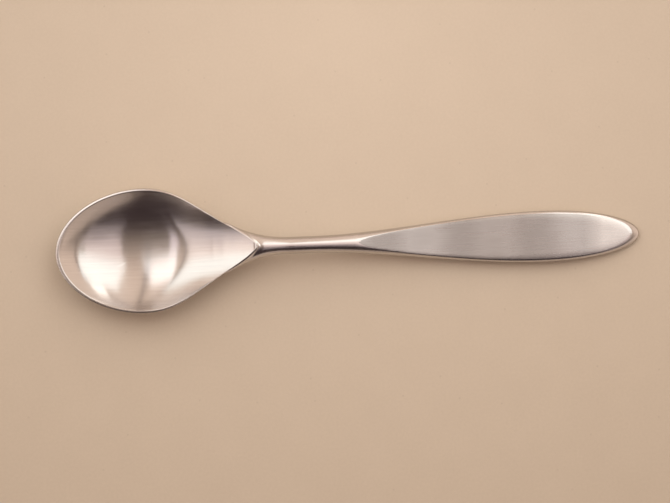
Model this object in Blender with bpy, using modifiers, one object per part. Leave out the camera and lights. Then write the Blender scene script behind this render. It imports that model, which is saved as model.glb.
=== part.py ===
"""Teaspoon with a drop-shaped bowl, a round stem and a leaf-shaped handle ground flat on top.

The bowl and the handle are two forgings that butt together just behind the point of the bowl.
Units are metres. X runs along the spoon from the front of the bowl to the end of the handle,
Y across it and Z up. The origin is on the table, under the middle of the length.
"""

import bmesh
import bpy
import numpy as np

MM = 0.001

# Places along the spoon, measured from the front of the bowl
SPOON_LENGTH = 150.0 * MM
BOWL_DEEPEST_AT = 22.3 * MM
NECK_HIDDEN_UNTIL = 32.0 * MM
NECK_STARTS_AT = 40.0 * MM
NECK_CLEAR_FROM = 45.0 * MM
BOWL_POINT_AT = 51.9 * MM
BUTT_JOINT_AT = 53.4 * MM
ROUND_STEM_FROM = 60.0 * MM
STEM_WIDENS_FROM = 65.0 * MM
FACET_STARTS_AT = 77.5 * MM

# Places measured back from the end of the handle
HANDLE_WIDEST_AT = SPOON_LENGTH - 25.5 * MM
HEEL_AT = SPOON_LENGTH - 18.0 * MM
END_ROUNDS_FROM = SPOON_LENGTH - 16.0 * MM
END_RESTS_AT = SPOON_LENGTH - 2.8 * MM

# Plan outline
BOWL_WIDTH = 31.9 * MM
STEM_WIDTH = 4.3 * MM
HANDLE_WIDTH = 13.1 * MM
NECK_FLARE = 0.95 * MM
NECK_FLARE_CURVE = 2.2
NECK_BULGE = 0.25 * MM
BOWL_FRONT_FULLNESS = 1.9
SHOULDER_SLOPE = 1.1
SHOULDER_ROUNDNESS = 0.665
SHOULDER_SWAY = 3.76
END_FULLNESS = 2.2

# Bowl
HOLLOW_DEPTH = 6.3 * MM
HOLLOW_SWELL = 0.15
BOWL_FLOOR = 1.0 * MM
WALL_FULLNESS = 0.35
RIM_LAND = 0.75 * MM
RIM_LAND_AT_POINT = 0.15 * MM
RIM_ROUNDING = 0.25 * MM
NECK_BLEND = 0.5 * MM
POINT_STEP = 0.25 * MM
POINT_FILLET = 0.5 * MM
POINT_RADIUS = 0.4 * MM

# Side view: heights above the table of the widest line of the section
FRONT_DROP = 0.1 * MM
NECK_HEIGHT = 6.7 * MM
STEM_HEIGHT = 5.5 * MM
STEM_HEIGHT_AT = 70.0 * MM
HANDLE_HEIGHT = 2.9 * MM
HANDLE_HEIGHT_AT = 105.0 * MM
HEEL_HEIGHT = 2.35 * MM
CONTACT_FLAT_DEPTH = 0.06 * MM

# Section of the handle: crown above the widest line, belly under it, and the ground facet
HANDLE_CROWN = 2.5 * MM
HANDLE_BELLY = 1.7 * MM
STEM_IS_HANDLE_FROM = 110.0 * MM
UNDERSIDE_ROUNDS_FROM = 38.0 * MM
FACET_SHOULDER = 1.65 * MM
FACET_SHOULDER_AT = 86.0 * MM
FACET_HEIGHT = 1.2 * MM
FACET_LEVEL_FROM = 102.0 * MM
FACET_END_HEIGHT = 1.5 * MM

# How finely the solids are faceted
FRONT_RIBS = 12
REAR_RIBS = 23
POINT_RIBS = 3
STEM_RIBS = 48
END_RIBS = 12
INNER_POINTS = 8
LAND_POINTS = 2
FLANK_POINTS = 5
UNDER_POINTS = 9
MIDDLE_STRIP = 0.7 * MM
TINY = 0.001 * MM

BENCH_THICKNESS = 10.0 * MM
BENCH_MARGIN = 10.0 * MM
BURR_SIZE = 0.02 * MM

STEEL_COLOUR = (0.60, 0.57, 0.55, 1.0)
STEEL_ROUGHNESS = 0.28


def ease(station, start, end):
    """Rise smoothly from 0 at start to 1 at end."""
    share = np.clip((station - start) / (end - start), 0.0, 1.0)
    return share * share * (3.0 - 2.0 * share)


def blend_max(first, second, radius):
    """The larger of two values, with the corner between them rounded."""
    overlap = np.maximum(radius - abs(first - second), 0.0)
    return np.maximum(first, second) + overlap**2 / (4.0 * radius)


def smooth_line(places, heights):
    """Natural cubic spline through the given heights, as evenly bent as a steel batten."""
    places = np.array(places)
    heights = np.array(heights)
    spans = np.diff(places)
    slopes = np.diff(heights) / spans
    matrix = np.eye(len(places))
    targets = np.zeros(len(places))
    for i in range(1, len(places) - 1):
        matrix[i, i - 1 : i + 2] = spans[i - 1], 2.0 * (spans[i - 1] + spans[i]), spans[i]
        targets[i] = 6.0 * (slopes[i] - slopes[i - 1])
    bends = np.linalg.solve(matrix, targets)

    def height(station):
        i = np.clip(np.searchsorted(places, station) - 1, 0, len(spans) - 1)
        after = (station - places[i]) / spans[i]
        before = 1.0 - after
        bend = (before**3 - before) * bends[i] + (after**3 - after) * bends[i + 1]
        return before * heights[i] + after * heights[i + 1] + bend * spans[i] ** 2 / 6.0

    return height


def rim_half_width(station):
    """Plan outline of the bowl: half an oval in front, then shoulders that sway in to the point."""
    forward = np.clip((BOWL_DEEPEST_AT - station) / BOWL_DEEPEST_AT, 0.0, 1.0)
    front = BOWL_WIDTH / 2 * (1.0 - forward**BOWL_FRONT_FULLNESS) ** (1.0 / BOWL_FRONT_FULLNESS)
    rear_length = BOWL_POINT_AT - BOWL_DEEPEST_AT
    back = (station - BOWL_DEEPEST_AT) / rear_length
    end_slope = SHOULDER_SLOPE * rear_length / (BOWL_WIDTH / 2)
    cubic = end_slope - 4.0 + 2.0 * SHOULDER_ROUNDNESS - SHOULDER_SWAY
    quartic = 3.0 - end_slope - SHOULDER_ROUNDNESS + 2.0 * SHOULDER_SWAY
    shoulder = 1.0 - SHOULDER_ROUNDNESS * back**2 + cubic * back**3 + quartic * back**4
    rear = BOWL_WIDTH / 2 * (shoulder - SHOULDER_SWAY * back**5)
    beyond = SHOULDER_SLOPE * (BOWL_POINT_AT - station)
    return np.where(station < BOWL_DEEPEST_AT, front, np.where(station < BOWL_POINT_AT, rear, beyond))


def body_half_width(station):
    """Plan outline of the whole spoon: rim, flared neck, stem and leaf-shaped handle."""
    before_stem = np.maximum(ROUND_STEM_FROM - station, 0.0) / (ROUND_STEM_FROM - BOWL_POINT_AT)
    flare = NECK_FLARE * before_stem**NECK_FLARE_CURVE
    neck = (STEM_WIDTH / 2 + flare) * ease(station, NECK_HIDDEN_UNTIL, NECK_CLEAR_FROM)
    rim = blend_max(neck, rim_half_width(station), RIM_ROUNDING)
    widening = ease(station, STEM_WIDENS_FROM, HANDLE_WIDEST_AT)
    past_widest = np.clip((station - HANDLE_WIDEST_AT) / (SPOON_LENGTH - HANDLE_WIDEST_AT), 0.0, 1.0)
    leaf = STEM_WIDTH / 2 + (HANDLE_WIDTH - STEM_WIDTH) / 2 * widening
    leaf = leaf * np.sqrt(1.0 - past_widest**END_FULLNESS)
    return np.where(station < ROUND_STEM_FROM, rim, leaf)


def end_rounding(station):
    """Fall from 1 on the handle to 0 at its very end, which is round in side view too."""
    past = np.clip((station - END_ROUNDS_FROM) / (SPOON_LENGTH - END_ROUNDS_FROM), 0.0, 1.0)
    return np.sqrt(1.0 - past**2)


def crown_height(station):
    """Height of the section above its widest line, before the facet is ground."""
    stem_share = ease(station, NECK_STARTS_AT, BUTT_JOINT_AT)
    handle_share = ease(station, STEM_WIDENS_FROM, STEM_IS_HANDLE_FROM)
    bulge = NECK_BULGE * (1.0 - ease(station, BOWL_POINT_AT, ROUND_STEM_FROM))
    stem = RIM_ROUNDING + (STEM_WIDTH / 2 + bulge - RIM_ROUNDING) * stem_share
    return (stem + (HANDLE_CROWN - STEM_WIDTH / 2) * handle_share) * end_rounding(station)


def belly_depth(station):
    """Depth of the section under its widest line: the bowl's outside, the stem, the handle."""
    back = np.clip((station - BOWL_DEEPEST_AT) / (ROUND_STEM_FROM - BOWL_DEEPEST_AT), 0.0, 1.0)
    bowl_depth = HOLLOW_DEPTH + BOWL_FLOOR - RIM_ROUNDING
    handle_share = ease(station, STEM_WIDENS_FROM, STEM_IS_HANDLE_FROM)
    stem = STEM_WIDTH / 2 + (bowl_depth - STEM_WIDTH / 2) * (1.0 - back**2) ** 3
    return (stem + (HANDLE_BELLY - STEM_WIDTH / 2) * handle_share) * end_rounding(station)


bowl_stands_at = belly_depth(BOWL_DEEPEST_AT) - CONTACT_FLAT_DEPTH
end_stands_at = belly_depth(END_RESTS_AT) - CONTACT_FLAT_DEPTH
side_line = smooth_line(
    [0.0, BOWL_DEEPEST_AT, BOWL_POINT_AT, STEM_HEIGHT_AT, HANDLE_HEIGHT_AT, HEEL_AT, END_RESTS_AT],
    [
        bowl_stands_at - FRONT_DROP,
        bowl_stands_at,
        NECK_HEIGHT,
        STEM_HEIGHT,
        HANDLE_HEIGHT,
        HEEL_HEIGHT,
        end_stands_at,
    ],
)
facet_line = smooth_line(
    [FACET_STARTS_AT, FACET_SHOULDER_AT, FACET_LEVEL_FROM, SPOON_LENGTH],
    [crown_height(FACET_STARTS_AT), FACET_SHOULDER, FACET_HEIGHT, FACET_END_HEIGHT],
)


def cup_shape(reach):
    """Curve of the bowl's wall, from 1 in the middle to 0 at the edge."""
    return 1.0 - (1.0 - WALL_FULLNESS) * reach**2 - WALL_FULLNESS * reach**4


def land_width(station):
    """Width of the land round the hollow with its rounded edge, which fades towards the point."""
    return RIM_LAND + (RIM_LAND_AT_POINT - RIM_LAND) * ease(station, BOWL_DEEPEST_AT, BOWL_POINT_AT)


def body_top(station, reach):
    """Top of the section at a share of its half width: flat with a rounded edge, or fully round."""
    half_width = body_half_width(station)
    roundness = ease(station, NECK_STARTS_AT, BUTT_JOINT_AT)
    rounding = RIM_ROUNDING + (half_width - RIM_ROUNDING) * roundness
    share = np.clip(1.0 - (1.0 - reach) * half_width / np.maximum(rounding, TINY), 0.0, 1.0)
    return side_line(station) + crown_height(station) * np.sqrt(1.0 - share**2)


def point_step(station):
    """How far the bowl's edge stands proud of the neck."""
    return POINT_STEP * ease(station, NECK_STARTS_AT, BOWL_POINT_AT)


def top_height(station, reach):
    """Top surface behind the deepest place: hollow, land, the step round the point, stem, facet."""
    half_width = body_half_width(station)
    across = reach * half_width
    rim = rim_half_width(station)
    plate_edge = -blend_max(-rim, RIM_ROUNDING - half_width, NECK_BLEND)
    plate_reach = np.clip(plate_edge / half_width, 0.0, 1.0)
    body = body_top(station, reach)
    inner_edge = np.maximum(rim - land_width(station), RIM_LAND_AT_POINT)
    share = (inner_edge / (BOWL_WIDTH / 2 - RIM_LAND)) ** 2
    left = share * (1.0 + HOLLOW_SWELL * (1.0 - share)) * (1.0 - (across / inner_edge) ** 2)
    hollow = HOLLOW_DEPTH * cup_shape(np.sqrt(1.0 - np.maximum(left, 0.0)))
    plate = np.minimum(body, body_top(station, plate_reach)) + point_step(station) - hollow
    rounded_across = np.sqrt(across**2 + POINT_RADIUS**2) - POINT_RADIUS
    outside = (rounded_across - rim) / np.hypot(1.0, SHOULDER_SLOPE)
    fillet = point_step(station) * (1.0 - np.clip(outside / POINT_FILLET, 0.0, 1.0)) ** 2
    neck = np.where(outside > 0.0, body + fillet, plate)
    ground = np.minimum(body, side_line(station) + facet_line(station))
    return np.where(station < ROUND_STEM_FROM, neck, np.where(station < FACET_STARTS_AT, body, ground))


def under_height(station, reach):
    """Underside of the section: a cup under the bowl, round under the stem and the handle."""
    roundness = ease(station, UNDERSIDE_ROUNDS_FROM, ROUND_STEM_FROM)
    round_shape = np.sqrt(np.maximum(1.0 - reach**2, 0.0))
    shape = cup_shape(reach) * (1.0 - roundness) + round_shape * roundness
    return side_line(station) - belly_depth(station) * shape


def edge_half_width(station):
    """Line that the middle strip of the mesh follows: the rim, then the edge of the facet."""
    half_width = body_half_width(station)
    rim = rim_half_width(station) - RIM_ROUNDING * (1.0 - ease(station, NECK_STARTS_AT, BOWL_POINT_AT))
    cut = np.clip(facet_line(station) / np.maximum(crown_height(station), TINY), 0.0, 1.0)
    facet = np.where(station < FACET_STARTS_AT, 0.0, half_width * np.sqrt(1.0 - cut**2))
    edge = blend_max(np.maximum(rim, facet), MIDDLE_STRIP, RIM_ROUNDING)
    return np.minimum(edge, np.maximum(half_width - RIM_ROUNDING, half_width / 2))


def rib_reaches(station):
    """Shares of the half width at which a rib has its points, over the top and back underneath."""
    half_width = body_half_width(station)
    edge = edge_half_width(station)
    hollow_edge = rim_half_width(station) - land_width(station)
    inner = np.maximum(np.minimum(hollow_edge, edge - RIM_LAND_AT_POINT), edge / 2)
    strip = np.linspace(0.0, inner, INNER_POINTS, endpoint=False)
    land = np.linspace(inner, edge, LAND_POINTS, endpoint=False)
    turn = np.linspace(np.arcsin(edge / half_width), np.pi / 2, FLANK_POINTS + 1)
    top = np.concatenate([strip / half_width, land / half_width, np.sin(turn)])
    under = np.cos(np.linspace(0.0, np.pi / 2, UNDER_POINTS + 1))[1:]
    return top, under


def front_rib(angle):
    """Rib of the front half of the bowl: a spoke from the deepest place out over the rim."""
    top, under = rib_reaches(BOWL_DEEPEST_AT)
    inner_reach = 1.0 - RIM_LAND / (BOWL_WIDTH / 2)

    def place(reach, height_at):
        power = 2.0 / (2.0 - (2.0 - BOWL_FRONT_FULLNESS) * reach**2)
        station = BOWL_DEEPEST_AT * (1.0 - reach * np.cos(angle) ** power)
        across = BOWL_WIDTH / 2 * reach * np.sin(angle) ** power
        return np.column_stack([station, across, height_at(station)])

    def top_at(station):
        hollow = HOLLOW_DEPTH * cup_shape(np.minimum(top / inner_reach, 1.0))
        rounding_share = np.clip(1.0 - (1.0 - top) * (BOWL_WIDTH / 2) / RIM_ROUNDING, 0.0, 1.0)
        return side_line(station) + RIM_ROUNDING * np.sqrt(1.0 - rounding_share**2) - hollow

    def under_at(station):
        return side_line(station) - belly_depth(BOWL_DEEPEST_AT) * cup_shape(under)

    return np.concatenate([place(top, top_at), place(under, under_at)])


def section_rib(station):
    """Rib square to the length: over the top from the middle, and back underneath."""
    top, under = rib_reaches(station)
    places = np.full(len(top) + len(under), station)
    across = np.concatenate([top, under]) * body_half_width(station)
    heights = np.concatenate([top_height(station, top), under_height(station, under)])
    return np.column_stack([places, across, heights])


def bowl_ribs():
    """Spokes round the front, then sections that crowd together towards the point."""
    spokes = [front_rib(angle) for angle in np.linspace(0.0, np.pi / 2, FRONT_RIBS + 1)[:-1]]
    crowding = np.sin(np.linspace(0.0, np.pi / 2, REAR_RIBS))
    stations = BOWL_DEEPEST_AT + (BOWL_POINT_AT - BOWL_DEEPEST_AT) * crowding
    behind_point = np.linspace(BOWL_POINT_AT, BUTT_JOINT_AT, POINT_RIBS + 1)[1:]
    return spokes + [section_rib(station) for station in np.concatenate([stations, behind_point])]


def handle_ribs():
    """Sections from the joint to the end, crowding together where the end rounds off."""
    straight = np.linspace(BUTT_JOINT_AT, END_ROUNDS_FROM, STEM_RIBS, endpoint=False)
    crowding = np.sin(np.linspace(0.0, np.pi / 2, END_RIBS + 1)[:-1])
    rounded = END_ROUNDS_FROM + (SPOON_LENGTH - END_ROUNDS_FROM) * crowding
    return [section_rib(station) for station in np.concatenate([straight, rounded])]


def skin(name, ribs, closings):
    """Half a forging as a lofted skin over its ribs, closed to a middle point, and mirrored."""
    mesh = bmesh.new()
    rows = []
    for rib in ribs:
        rows.append([mesh.verts.new((x - SPOON_LENGTH / 2, y, z)) for x, y, z in rib])
    for before, after in zip(rows, rows[1:]):
        for i in range(len(before) - 1):
            mesh.faces.new([before[i], before[i + 1], after[i + 1], after[i]])
    for row, centre in closings:
        hub = mesh.verts.new((centre - SPOON_LENGTH / 2, 0.0, side_line(centre)))
        for i in range(len(rows[row]) - 1):
            mesh.faces.new([rows[row][i], rows[row][i + 1], hub])
    bmesh.ops.remove_doubles(mesh, verts=mesh.verts, dist=TINY)
    bmesh.ops.dissolve_degenerate(mesh, edges=mesh.edges, dist=TINY)
    bmesh.ops.recalc_face_normals(mesh, faces=mesh.faces)
    data = bpy.data.meshes.new(name)
    mesh.to_mesh(data)
    mesh.free()
    forging = bpy.data.objects.new(name, data)
    mirror = forging.modifiers.new("other_half", "MIRROR")
    mirror.use_axis = (False, True, False)
    mirror.use_clip = True
    mirror.merge_threshold = TINY
    return forging


def bench_cutter():
    """The table as a block: what would reach below it is ground off, which leaves the contact flats."""
    mesh = bmesh.new()
    bmesh.ops.create_cube(mesh, size=1.0)
    size = (SPOON_LENGTH + 2 * BENCH_MARGIN, BOWL_WIDTH + 2 * BENCH_MARGIN, BENCH_THICKNESS)
    bmesh.ops.scale(mesh, vec=size, verts=mesh.verts)
    bmesh.ops.translate(mesh, vec=(0.0, 0.0, -BENCH_THICKNESS / 2), verts=mesh.verts)
    data = bpy.data.meshes.new("bench")
    mesh.to_mesh(data)
    mesh.free()
    bench = bpy.data.objects.new("bench", data)
    bench.hide_render = True
    bench.display_type = "WIRE"
    return bench


def steel(name):
    """Satin stainless steel."""
    material = bpy.data.materials.new(name)
    material.use_nodes = True
    shader = material.node_tree.nodes["Principled BSDF"]
    shader.inputs["Base Color"].default_value = STEEL_COLOUR
    shader.inputs["Roughness"].default_value = STEEL_ROUGHNESS
    shader.inputs["Metallic"].default_value = 1.0
    return material


def clear_scene():
    for leftover in list(bpy.data.objects):
        bpy.data.objects.remove(leftover, do_unlink=True)


def new_collection(name):
    collection = bpy.data.collections.new(name)
    bpy.context.scene.collection.children.link(collection)
    return collection


def main():
    clear_scene()
    spoon = new_collection("teaspoon")
    cutters = new_collection("cutters")
    bench = bench_cutter()
    cutters.objects.link(bench)
    forgings = [
        skin("bowl", bowl_ribs(), closings=[(-1, BUTT_JOINT_AT)]),
        skin("handle", handle_ribs(), closings=[(0, BUTT_JOINT_AT), (-1, SPOON_LENGTH)]),
    ]
    for forging in forgings:
        spoon.objects.link(forging)
        forging.data.materials.append(steel(forging.name + "_steel"))
        forging.data.shade_smooth()
        forging.data.set_sharp_from_angle(angle=np.radians(35.0))
        flats = forging.modifiers.new("contact_flats", "BOOLEAN")
        flats.operation = "DIFFERENCE"
        flats.object = bench
        deburred = forging.modifiers.new("deburred", "WELD")
        deburred.merge_threshold = BURR_SIZE


main()
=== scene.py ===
"""Satin steel teaspoon lying on pale paper under soft studio light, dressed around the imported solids.

The fine skins of the bowl and the handle come from the same formulas as the solids. Units are
metres. X runs from the front of the bowl to the end of the handle, Y across it and Z up.
"""

import bmesh
import bpy
import numpy as np
from mathutils import Matrix, Vector

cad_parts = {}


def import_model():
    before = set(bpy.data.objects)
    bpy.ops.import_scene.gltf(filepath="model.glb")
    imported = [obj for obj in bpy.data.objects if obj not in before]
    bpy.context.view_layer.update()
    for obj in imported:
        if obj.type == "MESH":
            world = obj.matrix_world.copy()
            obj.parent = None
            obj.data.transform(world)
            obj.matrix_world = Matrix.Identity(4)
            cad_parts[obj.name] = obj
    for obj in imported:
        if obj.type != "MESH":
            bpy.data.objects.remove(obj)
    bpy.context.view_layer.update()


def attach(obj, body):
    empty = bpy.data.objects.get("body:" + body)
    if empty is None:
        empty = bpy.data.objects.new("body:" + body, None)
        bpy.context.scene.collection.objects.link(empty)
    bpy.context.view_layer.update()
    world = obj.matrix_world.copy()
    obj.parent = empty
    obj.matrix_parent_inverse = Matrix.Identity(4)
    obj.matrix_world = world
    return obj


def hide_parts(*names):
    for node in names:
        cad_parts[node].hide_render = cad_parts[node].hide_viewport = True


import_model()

MM = 0.001

# Places along the spoon, measured from the front of the bowl
SPOON_LENGTH = 150.0 * MM
BOWL_DEEPEST_AT = 22.3 * MM
NECK_HIDDEN_UNTIL = 32.0 * MM
NECK_STARTS_AT = 40.0 * MM
NECK_CLEAR_FROM = 45.0 * MM
BOWL_POINT_AT = 51.9 * MM
BUTT_JOINT_AT = 53.4 * MM
ROUND_STEM_FROM = 60.0 * MM
STEM_WIDENS_FROM = 65.0 * MM
FACET_STARTS_AT = 77.5 * MM

# Places measured back from the end of the handle
HANDLE_WIDEST_AT = SPOON_LENGTH - 25.5 * MM
HEEL_AT = SPOON_LENGTH - 18.0 * MM
END_ROUNDS_FROM = SPOON_LENGTH - 16.0 * MM
END_RESTS_AT = SPOON_LENGTH - 2.8 * MM

# Plan outline
BOWL_WIDTH = 31.9 * MM
STEM_WIDTH = 4.3 * MM
HANDLE_WIDTH = 13.1 * MM
NECK_FLARE = 0.95 * MM
NECK_FLARE_CURVE = 2.2
NECK_BULGE = 0.25 * MM
BOWL_FRONT_FULLNESS = 1.9
SHOULDER_SLOPE = 1.1
SHOULDER_ROUNDNESS = 0.665
SHOULDER_SWAY = 3.76
END_FULLNESS = 2.2

# Bowl
HOLLOW_DEPTH = 6.3 * MM
HOLLOW_SWELL = 0.15
BOWL_FLOOR = 1.0 * MM
WALL_FULLNESS = 0.35
RIM_LAND = 0.75 * MM
RIM_LAND_AT_POINT = 0.15 * MM
RIM_ROUNDING = 0.25 * MM
NECK_BLEND = 0.5 * MM
POINT_STEP = 0.25 * MM
POINT_FILLET = 0.5 * MM
POINT_RADIUS = 0.4 * MM

# Side view: heights above the table of the widest line of the section
FRONT_DROP = 0.1 * MM
NECK_HEIGHT = 6.7 * MM
STEM_HEIGHT = 5.5 * MM
STEM_HEIGHT_AT = 70.0 * MM
HANDLE_HEIGHT = 2.9 * MM
HANDLE_HEIGHT_AT = 105.0 * MM
HEEL_HEIGHT = 2.35 * MM
CONTACT_FLAT_DEPTH = 0.06 * MM

# Section of the handle: crown above the widest line, belly under it, and the ground facet
HANDLE_CROWN = 2.5 * MM
HANDLE_BELLY = 1.7 * MM
STEM_IS_HANDLE_FROM = 110.0 * MM
UNDERSIDE_ROUNDS_FROM = 38.0 * MM
FACET_SHOULDER = 1.65 * MM
FACET_SHOULDER_AT = 86.0 * MM
FACET_HEIGHT = 1.2 * MM
FACET_LEVEL_FROM = 102.0 * MM
FACET_END_HEIGHT = 1.5 * MM

# Softness left by grinding and polishing. The crest of the rim's land is at a share of its width.
RIM_CROWN = 0.08 * MM
RIM_CROWN_AT = 0.2
FACET_EDGE_SOFTNESS = 0.18 * MM
FACET_END_SOFTNESS = 0.85 * MM

# How finely the skins are drawn: ribs along the spoon and points along a rib
FRONT_RIBS = 90
REAR_RIBS = 150
POINT_RIBS = 12
STEM_RIBS = 170
END_RIBS = 40
INNER_POINTS = 30
LAND_POINTS = 6
FLANK_POINTS = 16
UNDER_POINTS = 24
MIDDLE_STRIP = 0.7 * MM

# Smaller than anything on the spoon: points nearer than this are one
TINY = 0.001 * MM

# Places of the two steels in a skin's list of materials
BRUSHED = 0
POLISHED = 1

# Camera, almost straight above
IMAGE_WIDTH = 670
CAMERA_DISTANCE = 0.6
CAMERA_ELEVATION = np.radians(87.0)
CAMERA_ROLL = np.radians(-2.23)
AIM_AT = Vector((-3.63 * MM, -2.12 * MM, 8.0 * MM))
PIXEL_SIZE = 0.2548 * MM
SENSOR_WIDTH = 36.0
NEAREST_SEEN = 10.0 * MM

# Softboxes side by side over the table. The sides of each are as seen from the spoon, in degrees
# from straight above: across towards the end of the handle, and up the picture. Then come its
# turn in plan in degrees, its radiance and its colour.
LAMP_HEIGHT = 1.2
SOFTBOXES = {
    "right_window": ((11.5, 49.5), (6.0, 58.5), -14.0, 1.06, (0.82, 0.96, 1.0)),
    "right_corner": ((44.5, 57.0), (61.0, 76.0), -12.0, 1.9, (1.0, 1.0, 0.95)),
    "right_sky": ((4.5, 37.0), (-14.0, 20.5), 5.0, 0.7, (1.0, 0.84, 0.84)),
    "right_low_sky": ((9.0, 43.0), (-38.0, -5.0), -22.5, 0.36, (1.0, 0.85, 0.85)),
    "left_window": ((-33.5, -10.0), (8.0, 46.5), 9.0, 1.22, (0.93, 0.97, 1.0)),
    "left_strip": ((-32.0, -25.0), (-20.0, 18.0), -13.0, 0.76, (1.0, 0.9, 0.98)),
    "far_left_window": ((-64.0, -38.5), (23.0, 65.0), -6.0, 0.95, (0.7, 0.93, 1.0)),
    "far_left_sky": ((-57.0, -39.2), (-41.0, 20.5), 0.0, 0.62, (1.0, 0.9, 0.92)),
}

# Room round the table: dark on the camera's side, half lit low down at the right, and with the
# upright frames between its windows, in angles from straight above
ROOM_COLOUR = (1.08, 0.84, 0.68, 1.0)
DARK_COLOUR = (0.056, 0.037, 0.037, 1.0)
DARK_TOWARDS = Vector((0.0, -0.82, 0.46)).normalized()
DARK_WITHIN = np.radians(26.0)
DARK_ENDS = np.radians(90.0)
LOW_TOWARDS = Vector((0.634, -0.604, -0.484)).normalized()
LOW_WITHIN = np.radians(57.0)
LOW_ENDS = np.radians(61.0)
LOW_LIGHT = 0.6
FRAME_ANGLES = np.radians((-36.8, -6.5, 50.8))
FRAME_WIDTH = np.radians(2.2)
FRAME_DARKNESS = 0.8

# Steel: the light and the dark tone of its grain
STEEL_COLOUR = (0.64, 0.61, 0.59, 1.0)
STEEL_SHADE = (0.57, 0.54, 0.525, 1.0)
FACET_COLOUR = (0.46, 0.435, 0.42, 1.0)
FACET_SHADE = (0.36, 0.335, 0.32, 1.0)

# Steel: how rough it is, how much its highlights are stretched, a quarter turn from the brushing,
# and how deep its lines are
HOLLOW_ROUGHNESS = 0.19
HOLLOW_STRETCH = 0.93
HOLLOW_LINE_DEPTH = 0.005 * MM
FACET_ROUGHNESS = 0.28
FACET_STRETCH = 1.0
FACET_LINE_DEPTH = 0.00375 * MM
POLISHED_ROUGHNESS = 0.17
POLISHED_STRETCH = 0.8
POLISHED_LINE_DEPTH = 0.000625 * MM
QUARTER_TURN = 0.25

# Grain of the steel, in lines, smudges and slanting scratches a metre
LINES_ALONG = 70.0
LINES_ACROSS = 2600.0
SMUDGES = 90.0
SCRATCHES_ALONG = 300.0
SCRATCHES_ACROSS = 5000.0
SCRATCH_TURN = np.radians(24.0)

# Values between which noise mostly stays, and those between which the grain goes from dark to
# light, a scratch begins and is full, and an edge begins to be worn and is bright
NOISE_LOW = 0.3
NOISE_HIGH = 0.7
GRAIN_LOW = 0.75
GRAIN_HIGH = 1.25
SCRATCH_BEGINS = 0.68
SCRATCH_FULL = 0.76
WEAR_BEGINS = 0.52
WEAR_FULL = 0.60

# Shares of the roughness that smudges, lines and scratches add, and that wear takes off
SMUDGE_ROUGHNESS = 0.12
LINE_ROUGHNESS = 0.1
SCRATCH_ROUGHNESS = 0.25
WEAR_SMOOTHNESS = 0.3
SCRATCH_DEPTH = 0.3

# Facet: painted reflection bands of lighter and darker tone along it, and a painted highlight that
# lightens its end, in places from the middle of the spoon
REFLECTION_BAND_AT = 18.7 * MM
REFLECTION_BAND_EVERY = 19.7 * MM
REFLECTION_BAND_TONE = 0.6
# Painted highlight: the lighter colour that the end of the facet is blended to
END_HIGHLIGHT_COLOUR = (0.63, 0.595, 0.57, 1.0)
END_HIGHLIGHT_FROM = 60.5 * MM
END_HIGHLIGHT_FULL_FROM = 65.5 * MM

# Paper: lighter round a place beyond the spoon, as the light falls off
PAPER_SIZE = 3.0
PAPER_ROUGHNESS = 0.9
PAPER_LIGHT = (0.78, 0.67, 0.54, 1.0)
PAPER_SHADE = (0.57, 0.48, 0.375, 1.0)
PAPER_BRIGHTEST_AT = (0.0, 0.055, 0.0)
PAPER_FALLOFF = (5.0, 7.0, 0.0)

# Paper: fibres, clouds and specks a metre, how much they darken it, and how large a speck is as a
# share of the space between specks
PAPER_FIBRES = 1400.0
PAPER_CLOUDS = 90.0
PAPER_SPECKS = 55.0
FIBRE_TONE = 0.05
CLOUD_TONE = 0.03
SPECK_TONE = 0.25
SPECK_SIZE = 0.018


def ease(station, start, end):
    """Rise smoothly from 0 at start to 1 at end."""
    share = np.clip((station - start) / (end - start), 0.0, 1.0)
    return share * share * (3.0 - 2.0 * share)


def blend_max(first, second, radius):
    """The larger of two values, with the corner between them rounded."""
    overlap = np.maximum(radius - abs(first - second), 0.0)
    return np.maximum(first, second) + overlap**2 / (4.0 * radius)


def smooth_line(places, heights):
    """Natural cubic spline through the given heights, as evenly bent as a steel batten."""
    places = np.array(places)
    heights = np.array(heights)
    spans = np.diff(places)
    slopes = np.diff(heights) / spans
    matrix = np.eye(len(places))
    targets = np.zeros(len(places))
    for i in range(1, len(places) - 1):
        matrix[i, i - 1 : i + 2] = spans[i - 1], 2.0 * (spans[i - 1] + spans[i]), spans[i]
        targets[i] = 6.0 * (slopes[i] - slopes[i - 1])
    bends = np.linalg.solve(matrix, targets)

    def height(station):
        i = np.clip(np.searchsorted(places, station) - 1, 0, len(spans) - 1)
        after = (station - places[i]) / spans[i]
        before = 1.0 - after
        bend = (before**3 - before) * bends[i] + (after**3 - after) * bends[i + 1]
        return before * heights[i] + after * heights[i + 1] + bend * spans[i] ** 2 / 6.0

    return height


def rim_half_width(station):
    """Plan outline of the bowl: half an oval in front, then shoulders that sway in to the point."""
    forward = np.clip((BOWL_DEEPEST_AT - station) / BOWL_DEEPEST_AT, 0.0, 1.0)
    front = BOWL_WIDTH / 2 * (1.0 - forward**BOWL_FRONT_FULLNESS) ** (1.0 / BOWL_FRONT_FULLNESS)
    rear_length = BOWL_POINT_AT - BOWL_DEEPEST_AT
    back = (station - BOWL_DEEPEST_AT) / rear_length
    end_slope = SHOULDER_SLOPE * rear_length / (BOWL_WIDTH / 2)
    cubic = end_slope - 4.0 + 2.0 * SHOULDER_ROUNDNESS - SHOULDER_SWAY
    quartic = 3.0 - end_slope - SHOULDER_ROUNDNESS + 2.0 * SHOULDER_SWAY
    shoulder = 1.0 - SHOULDER_ROUNDNESS * back**2 + cubic * back**3 + quartic * back**4
    rear = BOWL_WIDTH / 2 * (shoulder - SHOULDER_SWAY * back**5)
    beyond = SHOULDER_SLOPE * (BOWL_POINT_AT - station)
    return np.where(station < BOWL_DEEPEST_AT, front, np.where(station < BOWL_POINT_AT, rear, beyond))


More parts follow.
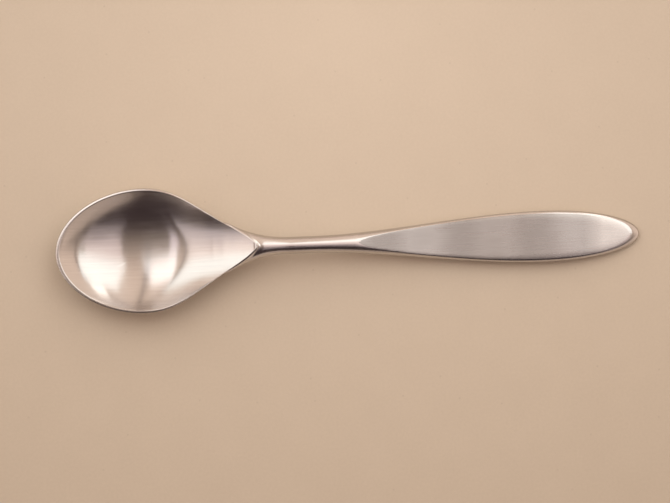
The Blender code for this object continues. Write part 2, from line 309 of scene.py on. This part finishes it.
def body_half_width(station):
    """Plan outline of the whole spoon: rim, flared neck, stem and leaf-shaped handle."""
    before_stem = np.maximum(ROUND_STEM_FROM - station, 0.0) / (ROUND_STEM_FROM - BOWL_POINT_AT)
    flare = NECK_FLARE * before_stem**NECK_FLARE_CURVE
    neck = (STEM_WIDTH / 2 + flare) * ease(station, NECK_HIDDEN_UNTIL, NECK_CLEAR_FROM)
    rim = blend_max(neck, rim_half_width(station), RIM_ROUNDING)
    widening = ease(station, STEM_WIDENS_FROM, HANDLE_WIDEST_AT)
    past_widest = np.clip((station - HANDLE_WIDEST_AT) / (SPOON_LENGTH - HANDLE_WIDEST_AT), 0.0, 1.0)
    leaf = STEM_WIDTH / 2 + (HANDLE_WIDTH - STEM_WIDTH) / 2 * widening
    leaf = leaf * np.sqrt(1.0 - past_widest**END_FULLNESS)
    return np.where(station < ROUND_STEM_FROM, rim, leaf)


def end_rounding(station):
    """Fall from 1 on the handle to 0 at its very end, which is round in side view too."""
    past = np.clip((station - END_ROUNDS_FROM) / (SPOON_LENGTH - END_ROUNDS_FROM), 0.0, 1.0)
    return np.sqrt(1.0 - past**2)


def crown_height(station):
    """Height of the section above its widest line, before the facet is ground."""
    stem_share = ease(station, NECK_STARTS_AT, BUTT_JOINT_AT)
    handle_share = ease(station, STEM_WIDENS_FROM, STEM_IS_HANDLE_FROM)
    bulge = NECK_BULGE * (1.0 - ease(station, BOWL_POINT_AT, ROUND_STEM_FROM))
    stem = RIM_ROUNDING + (STEM_WIDTH / 2 + bulge - RIM_ROUNDING) * stem_share
    return (stem + (HANDLE_CROWN - STEM_WIDTH / 2) * handle_share) * end_rounding(station)


def belly_depth(station):
    """Depth of the section under its widest line: the bowl's outside, the stem, the handle."""
    back = np.clip((station - BOWL_DEEPEST_AT) / (ROUND_STEM_FROM - BOWL_DEEPEST_AT), 0.0, 1.0)
    bowl_depth = HOLLOW_DEPTH + BOWL_FLOOR - RIM_ROUNDING
    handle_share = ease(station, STEM_WIDENS_FROM, STEM_IS_HANDLE_FROM)
    stem = STEM_WIDTH / 2 + (bowl_depth - STEM_WIDTH / 2) * (1.0 - back**2) ** 3
    return (stem + (HANDLE_BELLY - STEM_WIDTH / 2) * handle_share) * end_rounding(station)


bowl_stands_at = belly_depth(BOWL_DEEPEST_AT) - CONTACT_FLAT_DEPTH
end_stands_at = belly_depth(END_RESTS_AT) - CONTACT_FLAT_DEPTH
side_line = smooth_line(
    [0.0, BOWL_DEEPEST_AT, BOWL_POINT_AT, STEM_HEIGHT_AT, HANDLE_HEIGHT_AT, HEEL_AT, END_RESTS_AT],
    [
        bowl_stands_at - FRONT_DROP,
        bowl_stands_at,
        NECK_HEIGHT,
        STEM_HEIGHT,
        HANDLE_HEIGHT,
        HEEL_HEIGHT,
        end_stands_at,
    ],
)
facet_line = smooth_line(
    [FACET_STARTS_AT, FACET_SHOULDER_AT, FACET_LEVEL_FROM, SPOON_LENGTH],
    [crown_height(FACET_STARTS_AT), FACET_SHOULDER, FACET_HEIGHT, FACET_END_HEIGHT],
)


def cup_shape(reach):
    """Curve of the bowl's wall, from 1 in the middle to 0 at the edge."""
    return 1.0 - (1.0 - WALL_FULLNESS) * reach**2 - WALL_FULLNESS * reach**4


def land_width(station):
    """Width of the land round the hollow with its rounded edge, which fades towards the point."""
    return RIM_LAND + (RIM_LAND_AT_POINT - RIM_LAND) * ease(station, BOWL_DEEPEST_AT, BOWL_POINT_AT)


def body_top(station, reach):
    """Top of the section at a share of its half width: flat with a rounded edge, or fully round."""
    half_width = body_half_width(station)
    roundness = ease(station, NECK_STARTS_AT, BUTT_JOINT_AT)
    rounding = RIM_ROUNDING + (half_width - RIM_ROUNDING) * roundness
    share = np.clip(1.0 - (1.0 - reach) * half_width / np.maximum(rounding, TINY), 0.0, 1.0)
    return side_line(station) + crown_height(station) * np.sqrt(1.0 - share**2)


def point_step(station):
    """How far the bowl's edge stands proud of the neck."""
    return POINT_STEP * ease(station, NECK_STARTS_AT, BOWL_POINT_AT)


def rim_crown(land_share):
    """Height of the worn land of the rim over a flat one: it falls both ways from its crest."""
    share = np.clip(land_share, 0.0, 1.0)
    reach = np.where(share < RIM_CROWN_AT, RIM_CROWN_AT, 1.0 - RIM_CROWN_AT)
    return RIM_CROWN * (1.0 - ((share - RIM_CROWN_AT) / reach) ** 2)


def top_height(station, reach):
    """Top surface behind the deepest place: hollow, land, the step round the point, stem, facet."""
    half_width = body_half_width(station)
    across = reach * half_width
    rim = rim_half_width(station)
    plate_edge = -blend_max(-rim, RIM_ROUNDING - half_width, NECK_BLEND)
    plate_reach = np.clip(plate_edge / half_width, 0.0, 1.0)
    body = body_top(station, reach)
    inner_edge = np.maximum(rim - land_width(station), RIM_LAND_AT_POINT)
    share = (inner_edge / (BOWL_WIDTH / 2 - RIM_LAND)) ** 2
    left = share * (1.0 + HOLLOW_SWELL * (1.0 - share)) * (1.0 - (across / inner_edge) ** 2)
    hollow = HOLLOW_DEPTH * cup_shape(np.sqrt(1.0 - np.maximum(left, 0.0)))
    crown = rim_crown((across - inner_edge) / (rim - inner_edge))
    crown = crown * (1.0 - ease(station, NECK_STARTS_AT, BOWL_POINT_AT))
    plate = np.minimum(body, body_top(station, plate_reach)) + point_step(station) + crown - hollow
    rounded_across = np.sqrt(across**2 + POINT_RADIUS**2) - POINT_RADIUS
    outside = (rounded_across - rim) / np.hypot(1.0, SHOULDER_SLOPE)
    fillet = point_step(station) * (1.0 - np.clip(outside / POINT_FILLET, 0.0, 1.0)) ** 2
    neck = np.where(outside > 0.0, body + fillet, plate)
    past_facet_start = ease(station, FACET_STARTS_AT, SPOON_LENGTH)
    softness = FACET_EDGE_SOFTNESS + (FACET_END_SOFTNESS - FACET_EDGE_SOFTNESS) * past_facet_start
    plane = side_line(station) + facet_line(station)
    ground = -blend_max(-body, -plane, softness * end_rounding(station) + TINY)
    return np.where(station < ROUND_STEM_FROM, neck, np.where(station < FACET_STARTS_AT, body, ground))


def under_height(station, reach):
    """Underside of the section: a cup under the bowl, round under the stem and the handle."""
    roundness = ease(station, UNDERSIDE_ROUNDS_FROM, ROUND_STEM_FROM)
    round_shape = np.sqrt(np.maximum(1.0 - reach**2, 0.0))
    shape = cup_shape(reach) * (1.0 - roundness) + round_shape * roundness
    return np.maximum(side_line(station) - belly_depth(station) * shape, 0.0)


def facet_half_width(station):
    """Half width of the ground facet: where its plane cuts the crown of the section."""
    cut = np.clip(facet_line(station) / np.maximum(crown_height(station), TINY), 0.0, 1.0)
    return np.where(station < FACET_STARTS_AT, 0.0, body_half_width(station) * np.sqrt(1.0 - cut**2))


def edge_half_width(station):
    """Line that the middle strip of the mesh follows: the rim, then the edge of the facet."""
    half_width = body_half_width(station)
    rim = rim_half_width(station) - RIM_ROUNDING * (1.0 - ease(station, NECK_STARTS_AT, BOWL_POINT_AT))
    edge = blend_max(np.maximum(rim, facet_half_width(station)), MIDDLE_STRIP, RIM_ROUNDING)
    return np.minimum(edge, np.maximum(half_width - RIM_ROUNDING, half_width / 2))


def rib_reaches(station):
    """Shares of the half width at which a rib has its points, over the top and back underneath."""
    half_width = body_half_width(station)
    edge = edge_half_width(station)
    hollow_edge = rim_half_width(station) - land_width(station)
    inner = np.maximum(np.minimum(hollow_edge, edge - RIM_LAND_AT_POINT), edge / 2)
    strip = np.linspace(0.0, inner, INNER_POINTS, endpoint=False)
    land = np.linspace(inner, edge, LAND_POINTS, endpoint=False)
    turn = np.linspace(np.arcsin(edge / half_width), np.pi / 2, FLANK_POINTS + 1)
    top = np.concatenate([strip / half_width, land / half_width, np.sin(turn)])
    under = np.cos(np.linspace(0.0, np.pi / 2, UNDER_POINTS + 1))[1:]
    return top, under


def front_rib(angle):
    """Rib of the front half of the bowl: a spoke from the deepest place out over the rim."""
    top, under = rib_reaches(BOWL_DEEPEST_AT)
    inner_reach = 1.0 - RIM_LAND / (BOWL_WIDTH / 2)

    def place(reach, height_at):
        power = 2.0 / (2.0 - (2.0 - BOWL_FRONT_FULLNESS) * reach**2)
        station = BOWL_DEEPEST_AT * (1.0 - reach * np.cos(angle) ** power)
        across = BOWL_WIDTH / 2 * reach * np.sin(angle) ** power
        return np.column_stack([station, across, height_at(station)])

    def top_at(station):
        hollow = HOLLOW_DEPTH * cup_shape(np.minimum(top / inner_reach, 1.0))
        rounding_share = np.clip(1.0 - (1.0 - top) * (BOWL_WIDTH / 2) / RIM_ROUNDING, 0.0, 1.0)
        land = RIM_ROUNDING * np.sqrt(1.0 - rounding_share**2)
        crown = rim_crown((top - inner_reach) / (1.0 - inner_reach))
        return side_line(station) + land + crown - hollow

    def under_at(station):
        height = side_line(station) - belly_depth(BOWL_DEEPEST_AT) * cup_shape(under)
        return np.maximum(height, 0.0)

    return np.concatenate([place(top, top_at), place(under, under_at)])


def section_rib(station):
    """Rib square to the length: over the top from the middle, and back underneath."""
    top, under = rib_reaches(station)
    places = np.full(len(top) + len(under), station)
    across = np.concatenate([top, under]) * body_half_width(station)
    heights = np.concatenate([top_height(station, top), under_height(station, under)])
    return np.column_stack([places, across, heights])


def bowl_ribs():
    """Spokes round the front, then sections that crowd together towards the point."""
    spokes = [front_rib(angle) for angle in np.linspace(0.0, np.pi / 2, FRONT_RIBS + 1)[:-1]]
    crowding = np.sin(np.linspace(0.0, np.pi / 2, REAR_RIBS))
    stations = BOWL_DEEPEST_AT + (BOWL_POINT_AT - BOWL_DEEPEST_AT) * crowding
    behind_point = np.linspace(BOWL_POINT_AT, BUTT_JOINT_AT, POINT_RIBS + 1)[1:]
    return spokes + [section_rib(station) for station in np.concatenate([stations, behind_point])]


def handle_ribs():
    """Sections from the joint to the end, crowding together where the end rounds off."""
    straight = np.linspace(BUTT_JOINT_AT, END_ROUNDS_FROM, STEM_RIBS, endpoint=False)
    crowding = np.sin(np.linspace(0.0, np.pi / 2, END_RIBS + 1)[:-1])
    rounded = END_ROUNDS_FROM + (SPOON_LENGTH - END_ROUNDS_FROM) * crowding
    return [section_rib(station) for station in np.concatenate([straight, rounded])]


def is_ground(station, point, across):
    """Whether a face of the skin lies in the hollow of the bowl or on the facet of the handle."""
    if station < BOWL_POINT_AT:
        return point < INNER_POINTS
    return point < INNER_POINTS + LAND_POINTS and across < facet_half_width(station) + TINY


def skin(name, ribs, closings, brushed_steel, polished_steel):
    """Half a forging as a lofted skin over its ribs, mirrored to the other half.

    Each closing is a row of the skin and the place of the middle point that it is closed to.
    Only the joint between the two forgings keeps a sharp edge.
    """
    mesh = bmesh.new()
    rows = []
    for rib in ribs:
        rows.append([mesh.verts.new((x - SPOON_LENGTH / 2, y, z)) for x, y, z in rib])
    for rib, before, after in zip(ribs, rows, rows[1:]):
        row_station = rib[0][0]
        for i in range(len(before) - 1):
            face = mesh.faces.new([before[i], before[i + 1], after[i + 1], after[i]])
            ground = is_ground(row_station, i, rib[i + 1][1])
            face.material_index = BRUSHED if ground else POLISHED
    for row, centre in closings:
        hub = mesh.verts.new((centre - SPOON_LENGTH / 2, 0.0, side_line(centre)))
        for i in range(len(rows[row]) - 1):
            face = mesh.faces.new([rows[row][i], rows[row][i + 1], hub])
            face.material_index = POLISHED
            mesh.edges.get([rows[row][i], rows[row][i + 1]]).smooth = centre != BUTT_JOINT_AT
    bmesh.ops.remove_doubles(mesh, verts=mesh.verts, dist=TINY)
    bmesh.ops.dissolve_degenerate(mesh, edges=mesh.edges, dist=TINY)
    bmesh.ops.mirror(
        mesh, geom=mesh.verts[:] + mesh.edges[:] + mesh.faces[:], axis="Y", merge_dist=TINY
    )
    bmesh.ops.recalc_face_normals(mesh, faces=mesh.faces)
    along = mesh.loops.layers.uv.new("along")
    for face in mesh.faces:
        face.smooth = True
        for corner in face.loops:
            corner[along].uv = corner.vert.co.xy / SPOON_LENGTH + Vector((0.5, 0.5))
    data = bpy.data.meshes.new(name)
    mesh.to_mesh(data)
    mesh.free()
    data.materials.append(brushed_steel)
    data.materials.append(polished_steel)
    piece = bpy.data.objects.new(name, data)
    bpy.context.scene.collection.objects.link(piece)
    return piece


def add_node(tree, kind, inputs, **settings):
    """New node with its settings, and each input linked or set to a value."""
    node = tree.nodes.new(kind)
    for setting, value in settings.items():
        setattr(node, setting, value)
    for socket, value in inputs.items():
        if isinstance(value, bpy.types.NodeSocket):
            tree.links.new(value, node.inputs[socket])
        else:
            node.inputs[socket].default_value = value
    return node


def calculate(tree, operation, first, second=0.0):
    """One sum of arithmetic on one or two numbers."""
    return add_node(tree, "ShaderNodeMath", {0: first, 1: second}, operation=operation).outputs["Value"]


def calculate_vector(tree, operation, first, second, result="Vector"):
    """One sum of arithmetic on two places or directions."""
    inputs = {0: first, 1: second}
    return add_node(tree, "ShaderNodeVectorMath", inputs, operation=operation).outputs[result]


def noise(tree, place, scale, detail):
    """Noise at a place, in features a metre along each axis."""
    stretched = calculate_vector(tree, "MULTIPLY", place, scale)
    pattern = {"Vector": stretched, "Scale": 1.0, "Detail": detail}
    return add_node(tree, "ShaderNodeTexNoise", pattern).outputs["Fac"]


def spread(tree, value, low, high, new_low, new_high, **settings):
    """Stretch a range of values to another range."""
    limits = {"Value": value, "From Min": low, "From Max": high, "To Min": new_low, "To Max": new_high}
    return add_node(tree, "ShaderNodeMapRange", limits, **settings).outputs["Result"]


def blend(tree, factor, first, second):
    """Colour between two colours."""
    mix = add_node(tree, "ShaderNodeMix", {"Factor": factor}, data_type="RGBA")
    first_colour, second_colour = [socket for socket in mix.inputs if socket.type == "RGBA"]
    for socket, colour in ((first_colour, first), (second_colour, second)):
        if isinstance(colour, bpy.types.NodeSocket):
            tree.links.new(colour, socket)
        else:
            socket.default_value = colour
    return [socket for socket in mix.outputs if socket.type == "RGBA"][0]


def scratch_pattern(tree, place):
    """Sparse fine scratches that slant across the brushing."""
    turn = {"Vector": place, "Angle": SCRATCH_TURN}
    turned = add_node(tree, "ShaderNodeVectorRotate", turn, rotation_type="Z_AXIS").outputs["Vector"]
    slanting = noise(tree, turned, (SCRATCHES_ALONG, SCRATCHES_ACROSS, 0.0), detail=1.0)
    return spread(tree, slanting, SCRATCH_BEGINS, SCRATCH_FULL, 0.0, 1.0)


def painted_reflection_bands(tree, along_it):
    """Painted reflection: waves of lighter and darker tone along the facet, standing in for the bands of
    the room that it reflects.
    """
    past_first = calculate(tree, "SUBTRACT", along_it, REFLECTION_BAND_AT)
    turns = calculate(tree, "MULTIPLY", past_first, 2.0 * np.pi / REFLECTION_BAND_EVERY)
    return calculate(tree, "MULTIPLY", calculate(tree, "COSINE", turns), REFLECTION_BAND_TONE)


def steel(name, light, shade, roughness, stretch, line_depth, end_highlight_colour=None):
    """Stainless steel with lengthwise brushing, fine slanting scratches, smudges and worn edges.

    With a colour for its end highlight it is the steel of the facet, which gets a painted highlight at
    its end and painted reflection bands along it.
    """
    material = bpy.data.materials.new(name)
    material.use_nodes = True
    tree = material.node_tree
    shader = tree.nodes["Principled BSDF"]
    shader.inputs["Metallic"].default_value = 1.0
    shader.inputs["Anisotropic"].default_value = stretch
    shader.inputs["Anisotropic Rotation"].default_value = QUARTER_TURN
    place = add_node(tree, "ShaderNodeTexCoord", {}).outputs["Object"]
    lines = noise(tree, place, (LINES_ALONG, LINES_ACROSS, 0.0), detail=3.0)
    smudges = noise(tree, place, (SMUDGES, SMUDGES, SMUDGES), detail=3.0)
    scratches = scratch_pattern(tree, place)

    tone = spread(tree, calculate(tree, "ADD", lines, smudges), GRAIN_LOW, GRAIN_HIGH, 0.0, 1.0)
    if end_highlight_colour is None:
        colour = blend(tree, tone, shade, light)
    else:
        along_it = add_node(tree, "ShaderNodeSeparateXYZ", {"Vector": place}).outputs["X"]
        # Painted reflection bands: lighter and darker waves of tone along the facet
        tone = calculate(tree, "ADD", tone, painted_reflection_bands(tree, along_it))
        # Painted highlight: the end of the facet is lightened towards a brighter colour
        end_highlight_share = spread(tree, along_it, END_HIGHLIGHT_FROM, END_HIGHLIGHT_FULL_FROM, 0.0, 1.0)
        colour = blend(tree, end_highlight_share, blend(tree, tone, shade, light), end_highlight_colour)
    tree.links.new(colour, shader.inputs["Base Color"])

    least = (1.0 - SMUDGE_ROUGHNESS) * roughness
    most = (1.0 + SMUDGE_ROUGHNESS) * roughness
    rough = spread(tree, smudges, NOISE_LOW, NOISE_HIGH, least, most)
    uneven = LINE_ROUGHNESS * roughness
    rough = calculate(tree, "ADD", rough, spread(tree, lines, NOISE_LOW, NOISE_HIGH, -uneven, uneven))
    scratched = calculate(tree, "MULTIPLY", scratches, SCRATCH_ROUGHNESS * roughness)
    rough = calculate(tree, "ADD", rough, scratched)
    pointed = add_node(tree, "ShaderNodeNewGeometry", {}).outputs["Pointiness"]
    wear = spread(tree, pointed, WEAR_BEGINS, WEAR_FULL, 0.0, 1.0)
    smoothed = calculate(tree, "MULTIPLY", wear, WEAR_SMOOTHNESS * roughness)
    rough = calculate(tree, "SUBTRACT", rough, smoothed)
    tree.links.new(rough, shader.inputs["Roughness"])

    relief = calculate(tree, "SUBTRACT", lines, calculate(tree, "MULTIPLY", scratches, SCRATCH_DEPTH))
    bump = add_node(tree, "ShaderNodeBump", {"Height": relief, "Distance": line_depth})
    tree.links.new(bump.outputs["Normal"], shader.inputs["Normal"])
    tangent = add_node(tree, "ShaderNodeTangent", {}, direction_type="UV_MAP", uv_map="along")
    tree.links.new(tangent.outputs["Tangent"], shader.inputs["Tangent"])
    return material


def paper():
    """Pale warm paper with fibres, faint clouds and specks, darker away from the light."""
    material = bpy.data.materials.new("paper")
    material.use_nodes = True
    tree = material.node_tree
    shader = tree.nodes["Principled BSDF"]
    shader.inputs["Roughness"].default_value = PAPER_ROUGHNESS
    place = add_node(tree, "ShaderNodeTexCoord", {}).outputs["Object"]
    away = calculate_vector(tree, "SUBTRACT", place, PAPER_BRIGHTEST_AT)
    away = calculate_vector(tree, "MULTIPLY", away, PAPER_FALLOFF)
    distance = add_node(tree, "ShaderNodeVectorMath", {0: away}, operation="LENGTH").outputs["Value"]
    fibres = noise(tree, place, (PAPER_FIBRES, PAPER_FIBRES, 0.0), detail=4.0)
    fibres = spread(tree, fibres, NOISE_LOW, NOISE_HIGH, -FIBRE_TONE, FIBRE_TONE)
    clouds = noise(tree, place, (PAPER_CLOUDS, PAPER_CLOUDS, 0.0), detail=2.0)
    clouds = spread(tree, clouds, NOISE_LOW, NOISE_HIGH, -CLOUD_TONE, CLOUD_TONE)
    specks = {"Vector": place, "Scale": PAPER_SPECKS}
    specks = add_node(tree, "ShaderNodeTexVoronoi", specks, voronoi_dimensions="2D").outputs["Distance"]
    specks = spread(tree, specks, SPECK_SIZE / 2, SPECK_SIZE, SPECK_TONE, 0.0)
    shade = distance
    for darker in (fibres, clouds, specks):
        shade = calculate(tree, "ADD", shade, darker)
    tree.links.new(blend(tree, shade, PAPER_LIGHT, PAPER_SHADE), shader.inputs["Base Color"])
    return material


def table_top():
    """Plain floor under the spoon."""
    mesh = bmesh.new()
    bmesh.ops.create_grid(mesh, x_segments=1, y_segments=1, size=PAPER_SIZE / 2)
    data = bpy.data.meshes.new("table_top")
    mesh.to_mesh(data)
    mesh.free()
    data.materials.append(paper())
    floor = bpy.data.objects.new("table_top", data)
    bpy.context.scene.collection.objects.link(floor)


def camera():
    """Camera that frames the spoon as the photograph does."""
    data = bpy.data.cameras.new("camera")
    data.sensor_width = SENSOR_WIDTH
    data.lens = SENSOR_WIDTH * CAMERA_DISTANCE / (IMAGE_WIDTH * PIXEL_SIZE)
    data.clip_start = NEAREST_SEEN
    seen_from = bpy.data.objects.new("camera", data)
    roll = Matrix.Rotation(CAMERA_ROLL, 4, "Z")
    lean = Matrix.Rotation(np.pi / 2 - CAMERA_ELEVATION, 4, "X")
    back_off = Matrix.Translation((0.0, 0.0, CAMERA_DISTANCE))
    seen_from.matrix_world = Matrix.Translation(AIM_AT) @ roll @ lean @ back_off
    bpy.context.scene.collection.objects.link(seen_from)
    bpy.context.scene.camera = seen_from


def softbox(name, sides_x, sides_y, turn, radiance, colour):
    """Flat rectangular lamp over the table, facing down, with its sides where the angles point."""
    low_x, high_x = LAMP_HEIGHT * np.tan(np.radians(sides_x))
    low_y, high_y = LAMP_HEIGHT * np.tan(np.radians(sides_y))
    data = bpy.data.lights.new(name, "AREA")
    data.shape = "RECTANGLE"
    data.size = high_x - low_x
    data.size_y = high_y - low_y
    data.energy = radiance * np.pi * data.size * data.size_y
    data.color = colour
    lamp = bpy.data.objects.new(name, data)
    lamp.location = ((low_x + high_x) / 2, (low_y + high_y) / 2, LAMP_HEIGHT)
    lamp.rotation_euler.z = np.radians(turn)
    bpy.context.scene.collection.objects.link(lamp)


def near_direction(tree, place, direction, within, ends):
    """1 round a direction of the room, falling smoothly to 0."""
    towards = calculate_vector(tree, "DOT_PRODUCT", place, direction, result="Value")
    limits = np.cos(ends), np.cos(within), 0.0, 1.0
    return spread(tree, towards, *limits, interpolation_type="SMOOTHSTEP")


def frame_line(tree, place, angle):
    """Upright dark line in the room, like the frame between two windows."""
    square_to_it = (np.cos(angle), 0.0, -np.sin(angle))
    off = calculate_vector(tree, "DOT_PRODUCT", place, square_to_it, result="Value")
    off = calculate(tree, "ABSOLUTE", off)
    limits = 0.0, np.sin(FRAME_WIDTH), FRAME_DARKNESS, 0.0
    return spread(tree, off, *limits, interpolation_type="SMOOTHSTEP")


def world():
    """Warm room that is darker on the camera's side, except low down at the right."""
    room = bpy.data.worlds.new("room")
    room.use_nodes = True
    tree = room.node_tree
    place = add_node(tree, "ShaderNodeTexCoord", {}).outputs["Generated"]
    dark = near_direction(tree, place, DARK_TOWARDS, DARK_WITHIN, DARK_ENDS)
    low = near_direction(tree, place, LOW_TOWARDS, LOW_WITHIN, LOW_ENDS)
    low = calculate(tree, "MULTIPLY", low, LOW_LIGHT)
    dark = calculate(tree, "MULTIPLY", dark, calculate(tree, "SUBTRACT", 1.0, low))
    for angle in FRAME_ANGLES:
        dark = calculate(tree, "MAXIMUM", dark, frame_line(tree, place, angle))
    tree.links.new(blend(tree, dark, ROOM_COLOUR, DARK_COLOUR), tree.nodes["Background"].inputs["Color"])
    bpy.context.scene.world = room


def main():
    """Dress the bowl and the handle, and set the paper, the camera, the lamps and the room."""
    grain = STEEL_COLOUR, STEEL_SHADE
    hollow_finish = HOLLOW_ROUGHNESS, HOLLOW_STRETCH, HOLLOW_LINE_DEPTH
    facet_finish = FACET_ROUGHNESS, FACET_STRETCH, FACET_LINE_DEPTH
    polished_finish = POLISHED_ROUGHNESS, POLISHED_STRETCH, POLISHED_LINE_DEPTH
    hollow_steel = steel("hollow_steel", *grain, *hollow_finish)
    facet_steel = steel("facet_steel", FACET_COLOUR, FACET_SHADE, *facet_finish, END_HIGHLIGHT_COLOUR)
    polished_steel = steel("polished_steel", *grain, *polished_finish)
    bowl = skin("bowl_skin", bowl_ribs(), [(-1, BUTT_JOINT_AT)], hollow_steel, polished_steel)
    handle_ends = [(0, BUTT_JOINT_AT), (-1, SPOON_LENGTH)]
    handle = skin("handle_skin", handle_ribs(), handle_ends, facet_steel, polished_steel)
    for piece, node in ((bowl, "bowl"), (handle, "handle")):
        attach(piece, "root")
        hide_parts(node)
    table_top()
    camera()
    for name, settings in SOFTBOXES.items():
        softbox(name, *settings)
    world()
    bpy.context.scene.view_settings.view_transform = "Standard"


main()
